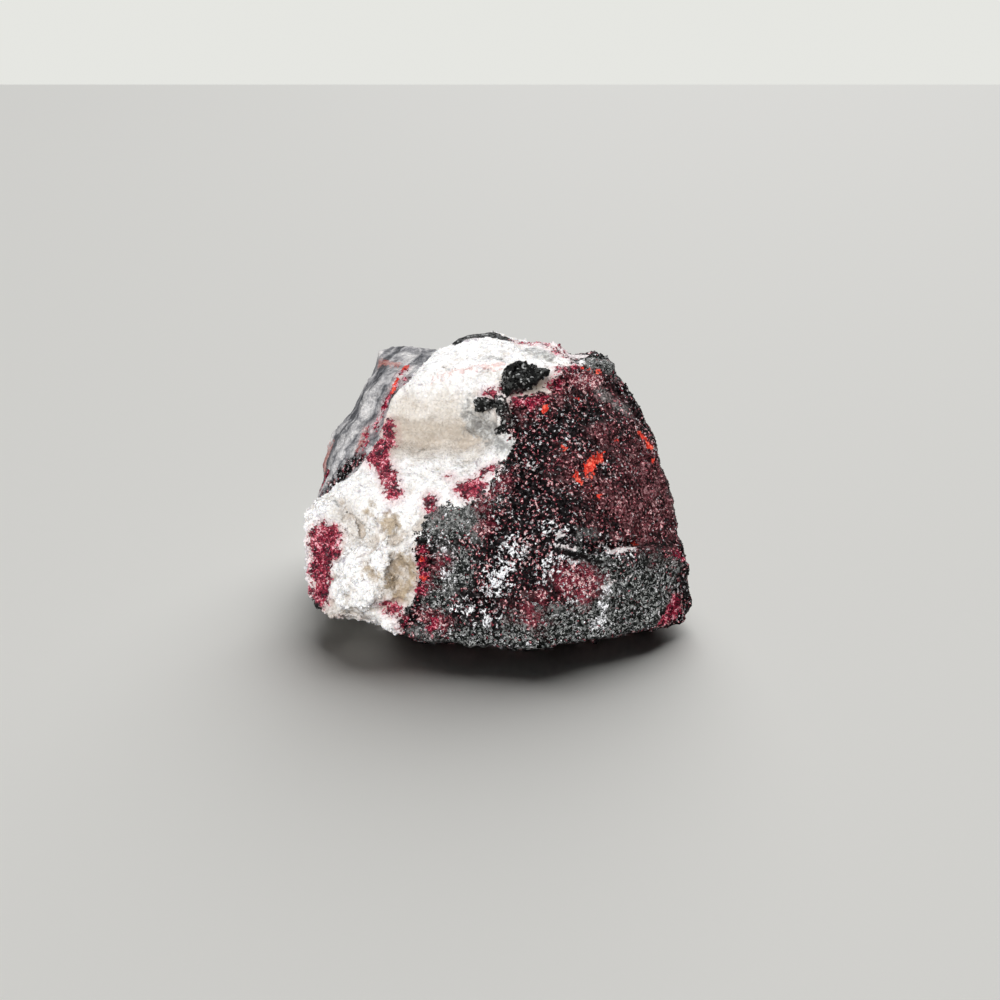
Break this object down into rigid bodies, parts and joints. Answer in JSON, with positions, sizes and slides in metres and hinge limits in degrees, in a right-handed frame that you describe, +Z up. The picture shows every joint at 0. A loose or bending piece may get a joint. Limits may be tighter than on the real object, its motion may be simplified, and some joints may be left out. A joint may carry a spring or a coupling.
{
  "type": "cinnabar specimen",
  "caption": "Rough hand specimen of cinnabar: dark speckled rock with a white vein, red mineral along the contacts and a grey striped slab, resting on a flat patch.",
  "frame": {"origin": "middle of the bounding box's underside, on the flat patch that the stone rests on", "axes": "+Z up from the rest patch, -Y toward the front with the white vein and the dark speckled face, +X to the right along the width"},
  "size_m": [0.049, 0.0426, 0.034],
  "materials": {
    "specimen_rock": "broken and unpolished, with fine glinting grains"
  },
  "bodies": {
    "root": {"cinnabar_specimen": "specimen_rock"}
  },
  "joints": []
}
